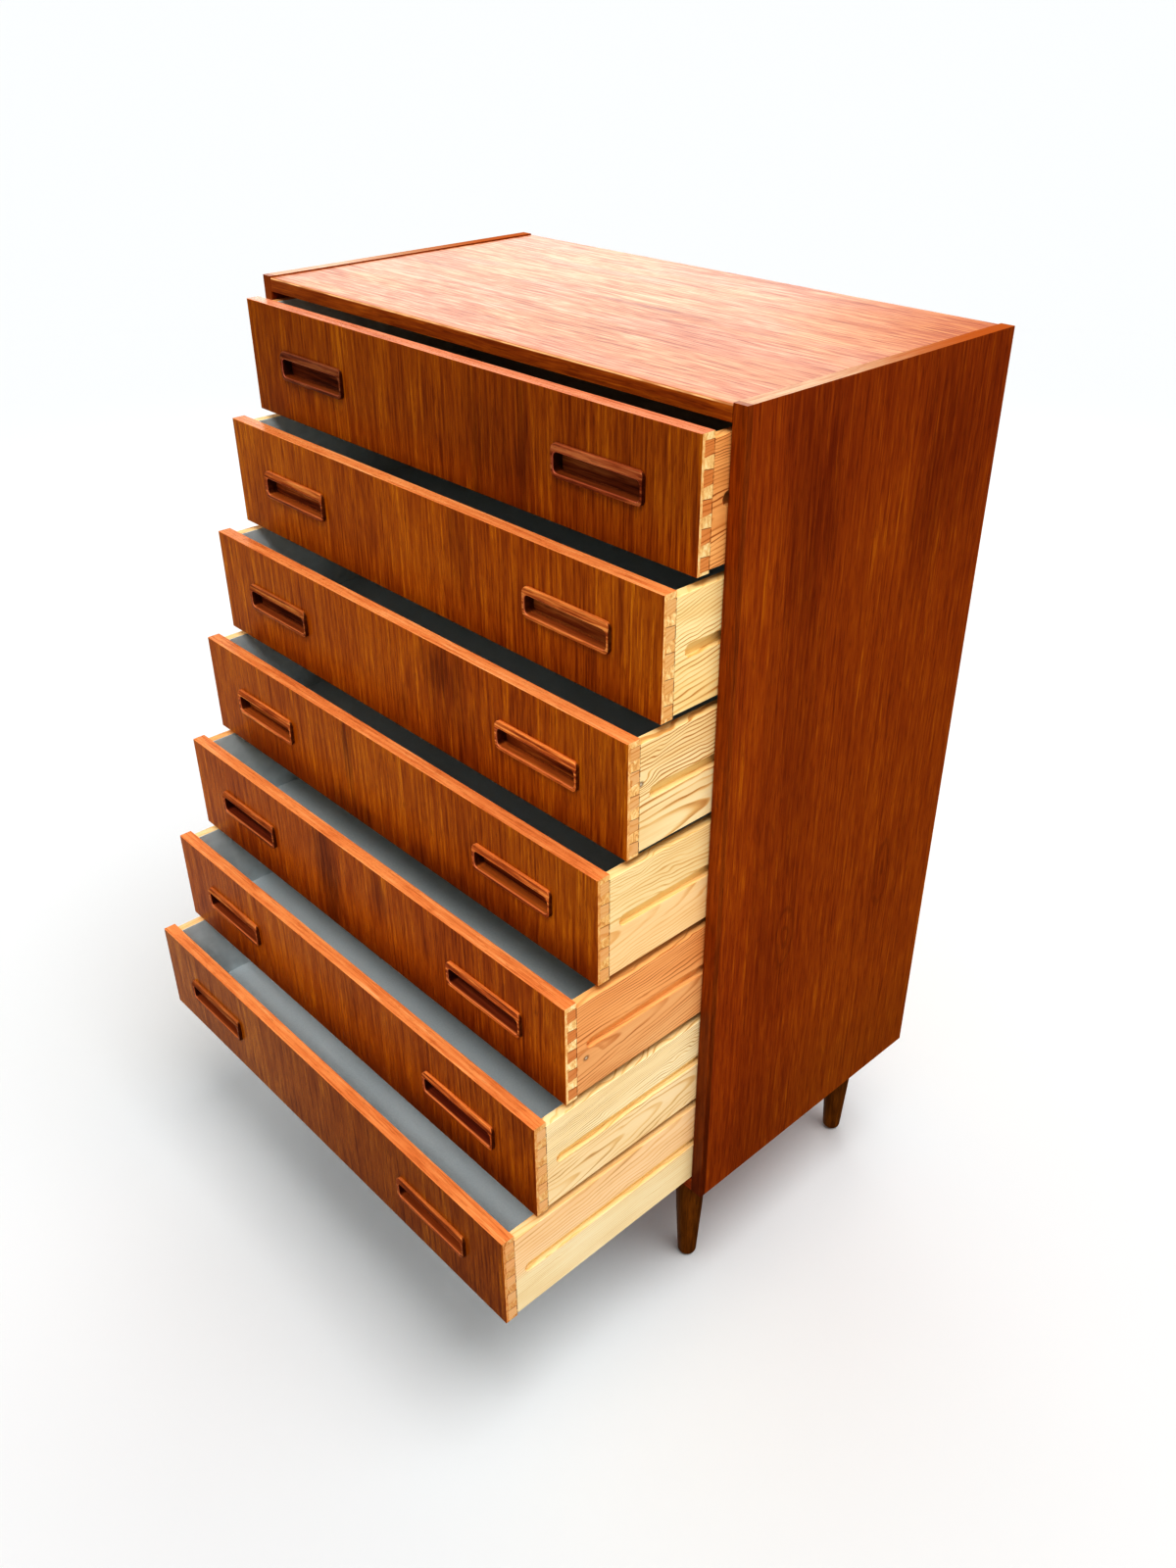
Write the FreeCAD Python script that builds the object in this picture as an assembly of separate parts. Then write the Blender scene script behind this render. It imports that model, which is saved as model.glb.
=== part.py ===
"""A free-standing tallboy: a veneered carcase on four turned legs with seven drawers.

X runs left to right, Y from front to back and Z up from the floor, in millimetres. The drawers
stand pulled out like a staircase, the lowest one the furthest. The origin lies at floor level,
midway across the width and midway between the furthest pulls and the back of the carcase.
"""
import FreeCAD, Part
import os

Vector = FreeCAD.Vector

# Carcase
carcase_width = 800.0
carcase_depth = 430.0
side_thickness = 17.0
panel_thickness = 16.5
side_upstand = 1.5
lipping_depth = 8.0
lipping_arris = 1.0
top_lipping_round = 2.5
panel_arris = 0.5
back_thickness = 6.0
back_overlap = 8.0
back_clearance = 0.2

# Dowels between the sides and the top and bottom panels
dowel_radius = 4.0
dowel_in_side = 11.0
dowel_in_panel = 20.0
dowel_chamfer = 0.8
dowel_clearance = 0.1
dowel_place_shares = [0.09, 0.36, 0.64, 0.9]

# Legs
leg_length = 170.0
leg_top_radius = 20.5
leg_foot_radius = 12.2
leg_foot_round = 6.0
leg_top_arris = 1.0
front_leg_inset_x = 47.0
front_leg_inset_y = 33.0
rear_leg_inset_x = 54.0
rear_leg_inset_y = 68.0
leg_bolt_radius = 4.0
leg_bolt_in_leg = 26.0
leg_bolt_in_panel = 12.5
leg_bolt_chamfer = 0.8
leg_bolt_clearance = 0.1

# Drawer fronts and their places
drawer_openings = [37.0, 80.0, 124.0, 164.0, 211.0, 257.0, 308.0]
front_height = 135.5
front_thickness = 17.0
front_arris = 0.6
front_end_gap = 1.2
front_gap = 4.2
outer_gap = 2.5

# Drawer boxes
drawer_rear_space = 19.0
box_side_thickness = 13.0
box_side_drop = 7.0
box_side_lift = 3.5
box_side_arris = 0.8
box_back_thickness = 12.0
box_back_drop = 9.0
box_back_margin = 9.0
box_back_housing = 4.0
box_bottom_thickness = 4.0
box_bottom_lift = 9.0
box_bottom_tongue = 5.0
box_clearance = 0.1

# Dovetails between each drawer front and its sides
tail_count = 5
tail_length = 12.8
tail_flare = 1.35
pin_width = 13.7
dovetail_gap = 0.15

# Grooves in the drawer sides and the runners that they hang on
groove_height = 14.8
groove_depth = 7.0
groove_setback = 14.0
runner_clearance = 0.3
runner_stop_gap = 0.5
runner_rear_setback = 11.5
runner_screw_inset = 34.0

# Countersunk screws that hold the runners
screw_radius = 1.75
screw_head_radius = 3.5
screw_head_height = 2.6
screw_in_side = 11.0
screw_sink = 0.4
screw_clearance = 0.1

# Recessed pulls
pull_width = 129.0
pull_height = 35.0
pull_centre_x = 248.5
pull_corner_radius = 7.0
pull_rim_proud = 4.5
pull_rim_round = 2.6
pull_depth = 12.0
pull_rim_top = 9.0
pull_rim_side = 4.8
pull_rim_bottom = 4.8
recess_depth = 9.5
recess_corner_radius = 6.2
recess_cove = 3.5
recess_lip_round = 1.2
undercut_height = 3.0
undercut_lip = 6.0
pull_clearance = 0.1

# How far a cutting shape reaches past the face that it cuts, and how near counts as touching
overrun = 2.0
touch = 0.001

# Places worked out from the sizes above
drawer_count = len(drawer_openings)
reach = max(drawer_openings) + pull_rim_proud
front_y = (reach - carcase_depth) / 2
rear_y = front_y + carcase_depth
half_width = carcase_width / 2
inner_half = half_width - side_thickness
front_half = inner_half - front_end_gap
base_z = leg_length
opening_height = (drawer_count * front_height + (drawer_count - 1) * front_gap
                  + 2 * outer_gap)
bottom_top_z = base_z + panel_thickness
top_under_z = bottom_top_z + opening_height
top_z = top_under_z + panel_thickness
side_top_z = top_z + side_upstand
box_inner_half = front_half - box_side_thickness
box_side_height = front_height - box_side_drop - box_side_lift
drawer_length = carcase_depth - back_thickness - drawer_rear_space
runner_height = groove_height - 2 * runner_clearance
runner_depth = front_end_gap + groove_depth - runner_clearance
runner_start_y = front_y + front_thickness + groove_setback + runner_stop_gap
runner_length = front_y + drawer_length - runner_rear_setback - runner_start_y


def box(x0, x1, y0, y1, z0, z1):
    """A block between three pairs of planes."""
    return Part.makeBox(x1 - x0, y1 - y0, z1 - z0, Vector(x0, y0, z0))


def mirrored(shape):
    """The same piece on the other side of the middle plane."""
    return shape.mirror(Vector(0, 0, 0), Vector(1, 0, 0))


def both_hands(shape):
    """A piece and its mirror image."""
    return [shape, mirrored(shape)]


def prism_along_x(points, x0, x1):
    """A prism whose outline is given as (y, z) pairs."""
    corners = [Vector(x0, y, z) for y, z in points]
    face = Part.Face(Part.makePolygon(corners + corners[:1]))
    return face.extrude(Vector(x1 - x0, 0, 0))


def rod_along_x(x0, x1, y, z, radius):
    """A round rod parallel to X."""
    return Part.makeCylinder(radius, x1 - x0, Vector(x0, y, z), Vector(1, 0, 0))


def edges_along(shape, direction):
    """The straight edges that are parallel to one axis."""
    lines = [edge for edge in shape.Edges if isinstance(edge.Curve, Part.Line)]
    return [edge for edge in lines if abs(edge.tangentAt(edge.FirstParameter) * direction) > 1 - touch]


def edges_at(shape, axis, place):
    """The edges that lie in the plane where one coordinate has one value."""
    low, high = {"x": ("XMin", "XMax"), "y": ("YMin", "YMax"), "z": ("ZMin", "ZMax")}[axis]
    return [edge for edge in shape.Edges
            if abs(getattr(edge.BoundBox, low) - place) < touch
            and abs(getattr(edge.BoundBox, high) - place) < touch]


def common(first, second):
    """The edges that are in both lists."""
    return [edge for edge in first if any(edge.isSame(other) for other in second)]


def rounded_slab(x0, x1, y0, y1, z0, z1, radius):
    """A slab with its four edges along Y rounded."""
    slab = box(x0, x1, y0, y1, z0, z1)
    return slab.makeFillet(radius, edges_along(slab, Vector(0, 1, 0)))


def write(name, solids):
    """Store one node as a STEP file."""
    shape = solids[0] if len(solids) == 1 else Part.makeCompound(solids)
    shape.exportStep("parts/" + name + ".step")


def drawer_base_z(number):
    """The height of the lower edge of a drawer front, counted from the top drawer."""
    return top_under_z - outer_gap - number * front_height - (number - 1) * front_gap


def drawer_face_y(number):
    """The plane of a drawer front's face as the drawer stands."""
    return front_y - drawer_openings[number - 1]


def dowel_places():
    """The (y, z) centres of the dowels in one side."""
    heights = [base_z + panel_thickness / 2, top_z - panel_thickness / 2]
    return [(front_y + carcase_depth * share, z) for z in heights for share in dowel_place_shares]


def runner_places():
    """The height of each runner's middle."""
    return [drawer_base_z(number) + front_height / 2 for number in range(1, drawer_count + 1)]


def runner_screw_ys():
    """Where the screws of every runner stand along its length."""
    return [runner_start_y + runner_screw_inset, runner_start_y + runner_length - runner_screw_inset]


def side_panel():
    """The right side, without its front lipping."""
    panel = box(inner_half, half_width, front_y + lipping_depth, rear_y, base_z, side_top_z)
    panel = panel.makeChamfer(panel_arris, common(edges_along(panel, Vector(0, 0, 1)),
                                                  edges_at(panel, "y", rear_y)))
    cuts = [box(inner_half - overrun, inner_half + back_overlap, rear_y - back_thickness,
                rear_y + overrun, bottom_top_z - back_overlap, top_under_z + back_overlap)]
    for y, z in dowel_places():
        cuts.append(rod_along_x(inner_half - overrun, inner_half + dowel_in_side + dowel_clearance,
                                y, z, dowel_radius + dowel_clearance))
    for z in runner_places():
        for y in runner_screw_ys():
            cuts.append(rod_along_x(inner_half - overrun,
                                    inner_half + screw_in_side + screw_clearance,
                                    y, z, screw_radius + screw_clearance))
    return panel.cut(cuts)


def side_lipping():
    """The solid strip on the front edge of the right side."""
    strip = box(inner_half, half_width, front_y, front_y + lipping_depth, base_z, side_top_z)
    return strip.makeFillet(lipping_arris, common(edges_along(strip, Vector(0, 0, 1)),
                                                  edges_at(strip, "y", front_y)))


def level_panel(z0, rebate_z0, rebate_z1):
    """The top or the bottom panel, with its rebate for the back and its dowel holes."""
    panel = box(-inner_half, inner_half, front_y + lipping_depth, rear_y, z0, z0 + panel_thickness)
    cuts = [box(-half_width, half_width, rear_y - back_thickness, rear_y + overrun,
                rebate_z0, rebate_z1)]
    for y, z in dowel_places():
        if z0 < z < z0 + panel_thickness:
            hole = rod_along_x(inner_half - dowel_in_panel - dowel_clearance, inner_half + overrun,
                               y, z, dowel_radius + dowel_clearance)
            cuts += both_hands(hole)
    return panel.cut(cuts)


def level_lipping(z0, rounding):
    """The solid strip on the front edge of the top or the bottom panel."""
    strip = box(-inner_half, inner_half, front_y, front_y + lipping_depth, z0, z0 + panel_thickness)
    upper = common(edges_at(strip, "y", front_y), edges_at(strip, "z", z0 + panel_thickness))
    return strip.makeFillet(rounding, upper)


def bottom_panel():
    """The bottom panel, bored for the bolts of the legs."""
    panel = level_panel(base_z, bottom_top_z - back_overlap, bottom_top_z + overrun)
    holes = [Part.makeCylinder(leg_bolt_radius + leg_bolt_clearance,
                               leg_bolt_in_panel + leg_bolt_clearance + overrun,
                               Vector(x, y, base_z - overrun)) for x, y in leg_places().values()]
    return panel.cut(holes)


def back_panel():
    """The thin back in the rebates of the sides, top and bottom."""
    reach_in = back_overlap - back_clearance
    return box(-inner_half - reach_in, inner_half + reach_in, rear_y - back_thickness, rear_y,
               bottom_top_z - reach_in, top_under_z + reach_in)


def carcase_dowels():
    """The dowels that join the sides to the top and bottom panels."""
    dowels = []
    for y, z in dowel_places():
        rod = rod_along_x(inner_half - dowel_in_panel, inner_half + dowel_in_side, y, z, dowel_radius)
        ends = (edges_at(rod, "x", inner_half - dowel_in_panel)
                + edges_at(rod, "x", inner_half + dowel_in_side))
        dowels += both_hands(rod.makeChamfer(dowel_chamfer, ends))
    return dowels


def leg_places():
    """Where each leg's axis stands."""
    front_x = half_width - front_leg_inset_x
    rear_x = half_width - rear_leg_inset_x
    front_leg_y = front_y + front_leg_inset_y
    rear_leg_y = rear_y - rear_leg_inset_y
    return {"leg_front_left": (-front_x, front_leg_y), "leg_front_right": (front_x, front_leg_y),
            "leg_rear_left": (-rear_x, rear_leg_y), "leg_rear_right": (rear_x, rear_leg_y)}


def leg(x, y):
    """A turned leg that tapers to a rounded foot, bored for its bolt."""
    turned = Part.makeCone(leg_foot_radius, leg_top_radius, leg_length, Vector(x, y, 0))
    turned = turned.makeFillet(leg_foot_round, edges_at(turned, "z", 0))
    turned = turned.makeChamfer(leg_top_arris, edges_at(turned, "z", leg_length))
    hole = Part.makeCylinder(leg_bolt_radius + leg_bolt_clearance,
                             leg_bolt_in_leg + leg_bolt_clearance + overrun,
                             Vector(x, y, leg_length - leg_bolt_in_leg - leg_bolt_clearance))
    return turned.cut(hole)


def leg_bolts():
    """The double-ended bolts between the legs and the bottom panel."""
    bolts = []
    low = leg_length - leg_bolt_in_leg
    high = leg_length + leg_bolt_in_panel
    for x, y in leg_places().values():
        rod = Part.makeCylinder(leg_bolt_radius, high - low, Vector(x, y, low))
        ends = edges_at(rod, "z", low) + edges_at(rod, "z", high)
        bolts.append(rod.makeChamfer(leg_bolt_chamfer, ends))
    return bolts


def screw_shape(head_x, y, z, clearance):
    """A countersunk screw driven towards +X, or the hole for it where there is a clearance."""
    head = Part.makeCone(screw_head_radius + clearance, screw_radius + clearance, screw_head_height,
                         Vector(head_x, y, z), Vector(1, 0, 0))
    shank = rod_along_x(head_x, inner_half + screw_in_side, y, z, screw_radius + clearance)
    return head.fuse(shank).removeSplitter()


def runner(z):
    """A runner on the right side, with its front end rounded like the groove's."""
    inner_x = inner_half - runner_depth
    half = runner_height / 2
    bar = box(inner_x, inner_half, runner_start_y + half, runner_start_y + runner_length,
              z - half, z + half)
    nose = rod_along_x(inner_x, inner_half, runner_start_y + half, z, half)
    bar = bar.fuse(nose).removeSplitter()
    head_x = inner_x + screw_sink
    cuts = []
    for y in runner_screw_ys():
        cuts.append(screw_shape(head_x, y, z, screw_clearance))
        cuts.append(rod_along_x(inner_x - overrun, head_x, y, z, screw_head_radius + screw_clearance))
    return bar.cut(cuts)


def runner_screws():
    """Every screw of both sides' runners."""
    head_x = inner_half - runner_depth + screw_sink
    screws = []
    for z in runner_places():
        for y in runner_screw_ys():
            screws += both_hands(screw_shape(head_x, y, z, 0))
    return screws


def tails(number, gap):
    """The outlines of a drawer side's tails as (y, z) pairs, grown by a gap for their sockets."""
    root_y = drawer_face_y(number) + front_thickness
    tip_y = root_y - tail_length - gap
    low = drawer_base_z(number) + box_side_lift
    high = low + box_side_height
    pitch = (box_side_height + pin_width) / tail_count
    shapes = []
    for place in range(tail_count):
        z0 = low + place * pitch
        z1 = z0 + pitch - pin_width
        flare0 = tail_flare if z0 > low + touch else 0
        flare1 = tail_flare if z1 < high - touch else 0
        shapes.append([(root_y + gap, z0 - gap), (root_y + gap, z1 + gap),
                       (tip_y, z1 + gap + flare1), (tip_y, z0 - gap - flare0)])
    return shapes


def drawer_side(number):
    """The right side of a drawer, with tails, runner groove, bottom groove and housing."""
    face_y = drawer_face_y(number)
    root_y = face_y + front_thickness
    end_y = face_y + drawer_length
    low = drawer_base_z(number) + box_side_lift
    high = low + box_side_height
    board = box(box_inner_half, front_half, root_y, end_y, low, high)
    board = board.makeFillet(box_side_arris, common(edges_along(board, Vector(0, 1, 0)),
                                                    edges_at(board, "z", high)))
    board = board.fuse([prism_along_x(outline, box_inner_half, front_half)
                        for outline in tails(number, 0)]).removeSplitter()
    middle = drawer_base_z(number) + front_height / 2
    groove_x = front_half - groove_depth
    groove_half = groove_height / 2
    groove_y = root_y + groove_setback + groove_half
    slot = box(groove_x, front_half + overrun, groove_y, end_y + overrun,
               middle - groove_half, middle + groove_half)
    slot_end = rod_along_x(groove_x, front_half + overrun, groove_y, middle, groove_half)
    bottom_z = low + box_bottom_lift
    bottom_top = bottom_z + box_bottom_thickness
    bottom_slot = box(box_inner_half - overrun, box_inner_half + box_bottom_tongue,
                      face_y, end_y + overrun, bottom_z - box_clearance, bottom_top + box_clearance)
    back_y = end_y - box_back_margin - box_back_thickness
    housing = box(box_inner_half - overrun, box_inner_half + box_back_housing,
                  back_y - box_clearance, back_y + box_back_thickness + box_clearance,
                  bottom_top, high - box_back_drop + box_clearance)
    return board.cut([slot, slot_end, bottom_slot, housing])


def pull_edges(number, grow):
    """The planes x0, x1, z0 and z1 round the right-hand pull, grown for its mortise."""
    middle = drawer_base_z(number) + front_height / 2
    return (pull_centre_x - pull_width / 2 - grow, pull_centre_x + pull_width / 2 + grow,
            middle - pull_height / 2 - grow, middle + pull_height / 2 + grow)


def drawer_front(number):
    """A drawer front with its sockets, bottom groove and the mortises for two pulls."""
    face_y = drawer_face_y(number)
    root_y = face_y + front_thickness
    low = drawer_base_z(number)
    high = low + front_height
    board = box(-front_half, front_half, face_y, root_y, low, high)
    board = board.makeFillet(front_arris, edges_at(board, "y", face_y))
    cuts = []
    for outline in tails(number, dovetail_gap):
        socket = prism_along_x(outline, box_inner_half - dovetail_gap, half_width)
        cuts += both_hands(socket)
    bottom_z = low + box_side_lift + box_bottom_lift
    cuts.append(box(-box_inner_half - box_bottom_tongue, box_inner_half + box_bottom_tongue,
                    root_y - box_bottom_tongue, root_y + overrun,
                    bottom_z - box_clearance, bottom_z + box_bottom_thickness + box_clearance))
    x0, x1, z0, z1 = pull_edges(number, pull_clearance)
    mortise = rounded_slab(x0, x1, face_y - overrun, face_y + pull_depth + pull_clearance, z0, z1,
                           pull_corner_radius)
    cuts += both_hands(mortise)
    return board.cut(cuts)


def pull(number):
    """The right-hand recessed pull: a raised rounded rim round a scooped finger recess."""
    face_y = drawer_face_y(number)
    x0, x1, z0, z1 = pull_edges(number, 0)
    rim_y = face_y - pull_rim_proud
    body = rounded_slab(x0, x1, rim_y, face_y + pull_depth, z0, z1, pull_corner_radius)
    body = body.makeFillet(pull_rim_round, edges_at(body, "y", rim_y))
    in_x0 = x0 + pull_rim_side
    in_x1 = x1 - pull_rim_side
    in_z0 = z0 + pull_rim_bottom
    in_z1 = z1 - pull_rim_top
    floor_y = face_y + recess_depth
    recess = rounded_slab(in_x0, in_x1, rim_y - overrun, floor_y, in_z0, in_z1,
                          recess_corner_radius)
    recess = recess.makeFillet(recess_cove, edges_at(recess, "y", floor_y))
    undercut = rounded_slab(in_x0, in_x1, rim_y + undercut_lip, floor_y, in_z0,
                            in_z1 + undercut_height, recess_corner_radius)
    undercut = undercut.makeFillet(recess_cove, edges_at(undercut, "y", floor_y))
    body = body.cut(recess)
    lip = [edge for edge in edges_at(body, "y", rim_y) if edge.BoundBox.XMin > x0 + pull_rim_round + touch
           and edge.BoundBox.XMax < x1 - pull_rim_round - touch
           and edge.BoundBox.ZMin > z0 + pull_rim_round + touch
           and edge.BoundBox.ZMax < z1 - pull_rim_round - touch]
    body = body.makeFillet(recess_lip_round, lip)
    return body.cut(undercut)


def drawer_back(number):
    """The back of a drawer, housed in its sides and standing on the bottom."""
    low = drawer_base_z(number) + box_side_lift
    back_y = drawer_face_y(number) + drawer_length - box_back_margin - box_back_thickness
    half = box_inner_half + box_back_housing - box_clearance
    return box(-half, half, back_y, back_y + box_back_thickness,
               low + box_bottom_lift + box_bottom_thickness, low + box_side_height - box_back_drop)


def drawer_bottom(number):
    """The bottom sheet of a drawer, in the grooves of its front and sides."""
    low = drawer_base_z(number) + box_side_lift + box_bottom_lift
    half = box_inner_half + box_bottom_tongue - box_clearance
    front_edge = drawer_face_y(number) + front_thickness - box_bottom_tongue + box_clearance
    rear_edge = drawer_face_y(number) + drawer_length - box_back_margin
    return box(-half, half, front_edge, rear_edge, low, low + box_bottom_thickness)


def write_carcase():
    """Every piece that stands still."""
    write("side_right", [side_panel()])
    write("side_left", [mirrored(side_panel())])
    write("side_lipping_right", [side_lipping()])
    write("side_lipping_left", [mirrored(side_lipping())])
    write("top_panel", [level_panel(top_under_z, top_under_z - overrun, top_under_z + back_overlap)])
    write("top_lipping", [level_lipping(top_under_z, top_lipping_round)])
    write("bottom_panel", [bottom_panel()])
    write("bottom_lipping", [level_lipping(base_z, lipping_arris)])
    write("back_panel", [back_panel()])
    write("carcase_dowels", carcase_dowels())
    for name, place in leg_places().items():
        write(name, [leg(place[0], place[1])])
    write("leg_bolts", leg_bolts())
    runners = [runner(z) for z in runner_places()]
    write("runners_right", runners)
    write("runners_left", [mirrored(bar) for bar in runners])
    write("runner_screws", runner_screws())


def write_drawer(number):
    """The pieces of one drawer."""
    name = "drawer_" + str(number)
    write(name + "_front", [drawer_front(number)])
    write(name + "_side_right", [drawer_side(number)])
    write(name + "_side_left", [mirrored(drawer_side(number))])
    write(name + "_back", [drawer_back(number)])
    write(name + "_bottom", [drawer_bottom(number)])
    write(name + "_pulls", both_hands(pull(number)))


os.makedirs("parts", exist_ok=True)
write_carcase()
for drawer in range(1, drawer_count + 1):
    write_drawer(drawer)
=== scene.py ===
"""Looks of a free-standing tallboy: seven teak drawers pulled out like a staircase."""
import math
from collections import namedtuple

import bmesh
import bpy
from mathutils import Matrix, Vector


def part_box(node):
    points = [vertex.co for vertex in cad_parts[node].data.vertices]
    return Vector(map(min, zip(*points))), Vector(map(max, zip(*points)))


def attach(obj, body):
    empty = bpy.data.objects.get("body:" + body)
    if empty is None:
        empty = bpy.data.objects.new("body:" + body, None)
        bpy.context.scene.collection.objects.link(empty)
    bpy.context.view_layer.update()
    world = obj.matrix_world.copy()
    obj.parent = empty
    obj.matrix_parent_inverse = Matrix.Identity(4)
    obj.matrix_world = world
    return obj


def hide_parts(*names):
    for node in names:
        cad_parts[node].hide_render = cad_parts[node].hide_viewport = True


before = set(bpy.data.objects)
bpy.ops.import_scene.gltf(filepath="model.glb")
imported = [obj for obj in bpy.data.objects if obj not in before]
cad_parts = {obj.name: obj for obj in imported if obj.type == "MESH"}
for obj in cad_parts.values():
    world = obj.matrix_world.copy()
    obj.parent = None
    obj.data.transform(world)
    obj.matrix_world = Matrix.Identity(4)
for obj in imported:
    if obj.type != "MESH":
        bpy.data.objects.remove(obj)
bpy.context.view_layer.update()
scene = bpy.context.scene
bpy.ops.object.select_all(action="DESELECT")

mm = 0.001
drawers = range(1, 8)
orange_sides = (1, 5)
leg_places = ("front_left", "front_right", "rear_left", "rear_right")

# The recessed pulls
pull_width = 129 * mm
pull_corner = 7 * mm
rim_top = 9 * mm
rim_side = 3.4 * mm
rim_bottom = 4 * mm
rim_round = 2.2 * mm
lip_round = 1.1 * mm
lip_depth = 6 * mm
recess_depth = 14 * mm
recess_corner = 6.2 * mm
recess_cove = 3.5 * mm
undercut = 3 * mm
brow_slope = math.radians(10.5)

# The turned legs
foot_radius = 12.2 * mm
foot_round = 6 * mm
leg_top_arris = 1 * mm
leg_swell = 0.5 * mm

# Thin layers of the drawer fronts and the painted insides
veneer_thickness = 0.8 * mm
cut_face_depth = 0.8 * mm
edge_thickness = 1.6 * mm
paint_depth = 0.4 * mm
soft_seam = 0.15 * mm
# The height over which each front's foot gets painted shade
shaded_foot_band = 60 * mm
grain_height = 0.3 * mm

# The carcase sides: their front strip, and the part of their top edge pale from wear and painted
# sheen
front_strip = 48 * mm
strip_seam = 4 * mm
worn_and_sheen_edge_length = 60 * mm

# The dovetails at the front of each drawer side
tail_count = 5
tail_length = 12.8 * mm
tail_flare = 1.35 * mm
pin_width = 13.7 * mm
lap_thickness = 5 * mm
joint_line = 0.5 * mm

# How near counts as touching, the room left round an opening, and how far shading runs on
touching = 0.01 * mm
margin = 0.1 * mm
shade_angle = math.radians(50)


def tone(red, green, blue):
    """A colour as the eye reads it, from 0 to 255, for a shader."""
    parts = [part / 255 for part in (red, green, blue)]
    return [part / 12.92 if part <= 0.04045 else ((part + 0.055) / 1.055) ** 2.4
            for part in parts] + [1]


# Wood and paint tones as the eye reads them, from dark to light
front_tones = ((105, 37, 2), (154, 74, 4), (176, 95, 8), (213, 132, 22))
side_tones = ((96, 32, 1), (135, 55, 2), (152, 71, 3), (184, 106, 8))
top_tones = ((148, 67, 26), (187, 108, 62), (198, 131, 86), (210, 158, 116))
edge_tones = ((168, 86, 38), (216, 131, 76), (229, 153, 95), (239, 184, 135))
pale_edge_tones = ((176, 96, 62), (214, 134, 96), (228, 154, 118), (240, 180, 148))
lipping_tones = ((90, 36, 1), (131, 58, 2), (154, 76, 5), (193, 110, 16))
edge_dark_tones = ((99, 38, 2), (142, 68, 11), (170, 93, 21), (214, 138, 51))
pull_tones = ((108, 45, 16), (164, 82, 34), (193, 108, 49), (232, 156, 85))
leg_tones = ((54, 27, 1), (94, 52, 2), (118, 68, 5), (151, 96, 12))
core_tones = ((189, 114, 56), (223, 153, 88), (234, 175, 111), (241, 200, 143))
bright_core_tones = ((221, 160, 92), (248, 196, 126), (255, 217, 152), (255, 234, 178))
pine_light = ((196, 132, 66), (240, 194, 124), (255, 229, 172), (255, 242, 206))
pine_pale = ((196, 150, 96), (240, 203, 142), (252, 228, 180), (255, 240, 208))
pine_orange = ((156, 80, 30), (220, 142, 76), (246, 178, 110), (255, 208, 142))
grey_tones = ((207, 216, 220), (217, 226, 229), (224, 232, 235), (232, 241, 243))
beech_tones = ((196, 148, 98), (216, 170, 120), (226, 184, 136), (238, 204, 160))
ply_tones = ((168, 122, 78), (192, 146, 98), (206, 164, 116), (222, 184, 140))
zinc_tones = ((150, 150, 146), (172, 172, 168), (186, 186, 182), (204, 204, 200))

# Single tones
front_heartwood = tone(74, 17, 1)
side_heartwood = tone(92, 24, 1)
eye_ring = tone(84, 26, 2)
dark_rear_edge = tone(170, 82, 2)
top_streak = tone(140, 60, 26)
worn_arris = tone(252, 206, 150)
lit_rim = tone(240, 146, 80)
worn_and_highlit_rim = tone(232, 142, 100)
oiled_end_grain = tone(52, 14, 3)
knot_ring = tone(92, 48, 20)
knot_heart = tone(222, 206, 180)
joint_shadow = tone(96, 46, 12)
fresh_cut = tone(246, 204, 136)

# How strongly finishes mirror, and the tint in which they do
lacquer = 0.22
oiled = 0.45
warm_gloss = tone(255, 214, 176)
pale_gloss = tone(255, 238, 208)

# Factors on red, green and blue that change nothing
unchanged = (1, 1, 1)


def add_node(tree, kind, **settings):
    """A shader node with its settings."""
    made = tree.nodes.new(kind)
    for name, value in settings.items():
        setattr(made, name, value)
    return made


def feed(tree, value, socket):
    """Give a socket a value, or link it to another socket. A colour may leave out its alpha."""
    if isinstance(value, bpy.types.NodeSocket):
        tree.links.new(value, socket)
    elif isinstance(value, tuple) and len(value) == 3:
        socket.default_value = (*value, 1)
    else:
        socket.default_value = value


def calculate(tree, operation, *values, clamp=False):
    """One step of arithmetic."""
    step = add_node(tree, "ShaderNodeMath", operation=operation, use_clamp=clamp)
    for place, value in enumerate(values):
        feed(tree, value, step.inputs[place])
    return step.outputs[0]


def times(tree, first, *others):
    """Values multiplied together, from left to right."""
    for other in others:
        first = calculate(tree, "MULTIPLY", first, other)
    return first


def minus(tree, value, taken):
    """One value less another."""
    return calculate(tree, "SUBTRACT", value, taken)


def times_plus(tree, value, factor, added):
    """A value times a factor, and another added."""
    return calculate(tree, "MULTIPLY_ADD", value, factor, added)


def size_of(tree, value):
    """A value without its sign."""
    return calculate(tree, "ABSOLUTE", value)


def swing(tree, value, amount):
    """Noise turned into a push to both sides of nothing."""
    return times(tree, minus(tree, value, 0.5), amount)


def length_of(tree, *steps):
    """The straight distance of steps at right angles to each other."""
    total = times(tree, steps[0], steps[0])
    for step in steps[1:]:
        total = calculate(tree, "ADD", total, times(tree, step, step))
    return calculate(tree, "SQRT", total)


def spread(tree, value, low, high, start=0.0, end=1.0):
    """Turn the range from low to high smoothly into the range from start to end."""
    step = add_node(tree, "ShaderNodeMapRange", interpolation_type="SMOOTHSTEP")
    for place, number in enumerate((value, low, high, start, end)):
        feed(tree, number, step.inputs[place])
    return step.outputs[0]


def fade(tree, value, low, high):
    """1 up to low, and from there smoothly down to 0 at high."""
    return spread(tree, value, low, high, 1.0, 0.0)


def above(tree, value, limit, seam=soft_seam):
    """1 where a value is over a limit, and 0 below it."""
    return spread(tree, value, limit - seam, limit + seam)


def below(tree, value, limit, seam=soft_seam):
    """1 where a value is under a limit, and 0 above it."""
    return fade(tree, value, limit - seam, limit + seam)


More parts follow.
